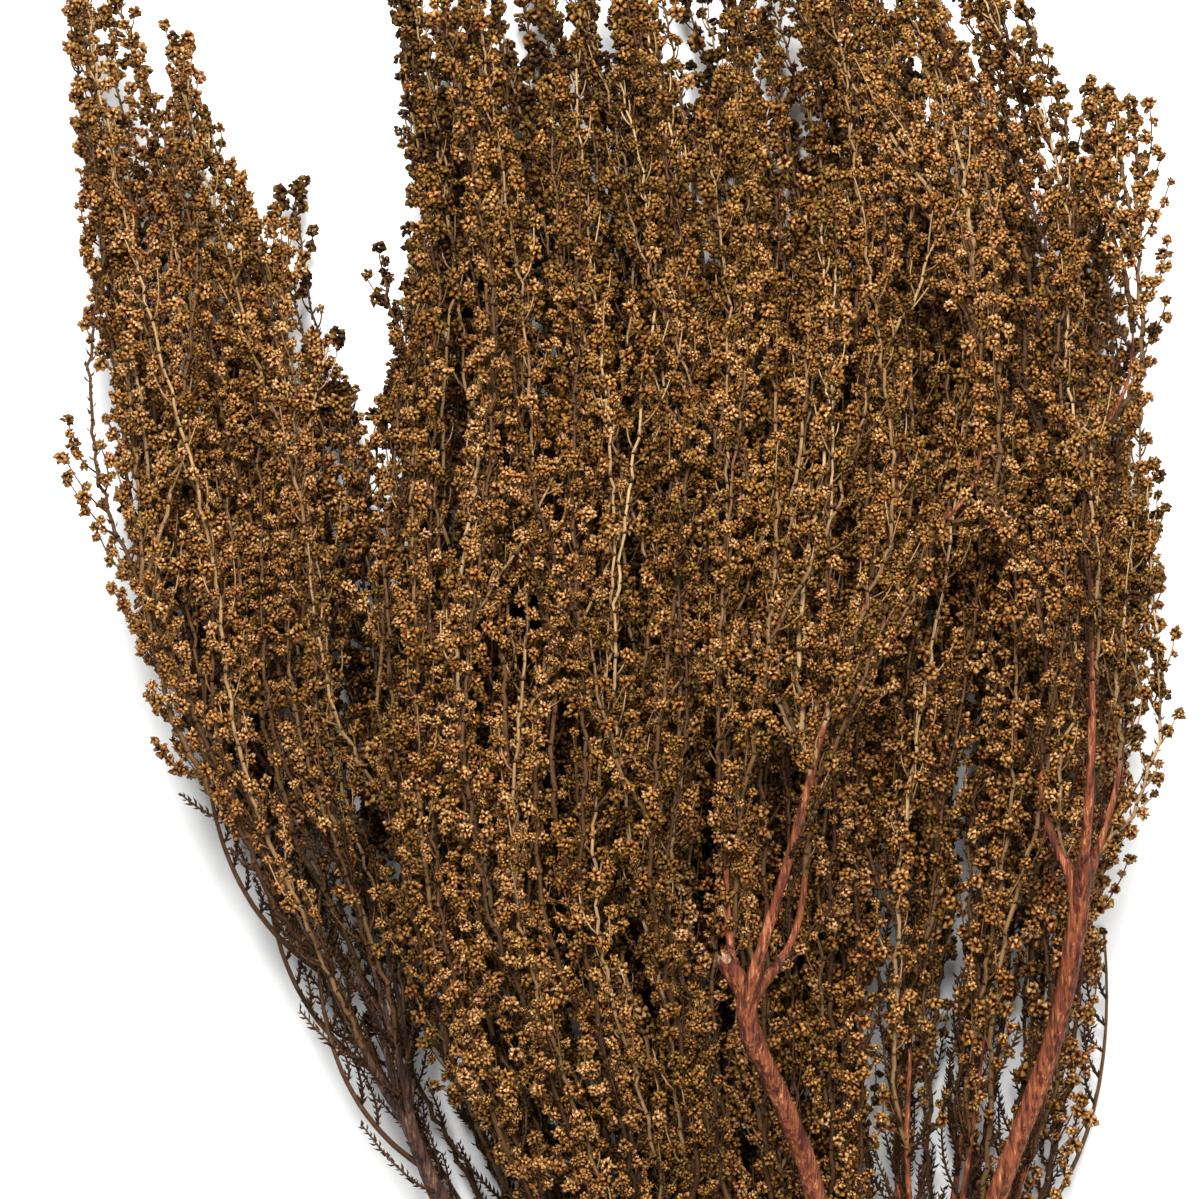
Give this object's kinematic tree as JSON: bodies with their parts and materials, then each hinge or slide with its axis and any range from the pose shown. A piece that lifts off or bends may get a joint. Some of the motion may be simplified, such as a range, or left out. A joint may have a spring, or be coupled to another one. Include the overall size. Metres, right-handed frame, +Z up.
{
  "type": "bunch of dried stoebe",
  "caption": "Bunch of dried stoebe branches lying flat, held near the cut ends by an elastic band, with a wide crown of fine sprays of small round flower heads.",
  "frame": {"origin": "centre of the bounding box's underside, on the surface that the bunch lies on", "axes": "+Y from the cut ends to the tips, +X across the bunch, +Z up from the surface"},
  "size_m": [0.3348, 0.6508, 0.129],
  "materials": {
    "flower_heads": "matte",
    "bark": "matte",
    "elastic_band": "satin"
  },
  "bodies": {
    "root": {"branch_lower_left": "flower_heads", "branch_lower_middle": "flower_heads", "branch_lower_right": "flower_heads", "branch_middle_far_left": "flower_heads", "branch_middle_left": "flower_heads", "branch_middle_right": "flower_heads", "branch_middle_far_right": "flower_heads", "branch_upper_left": "flower_heads", "branch_upper_middle": "flower_heads", "branch_upper_right": "flower_heads", "elastic_band": "elastic_band"}
  },
  "joints": []
}
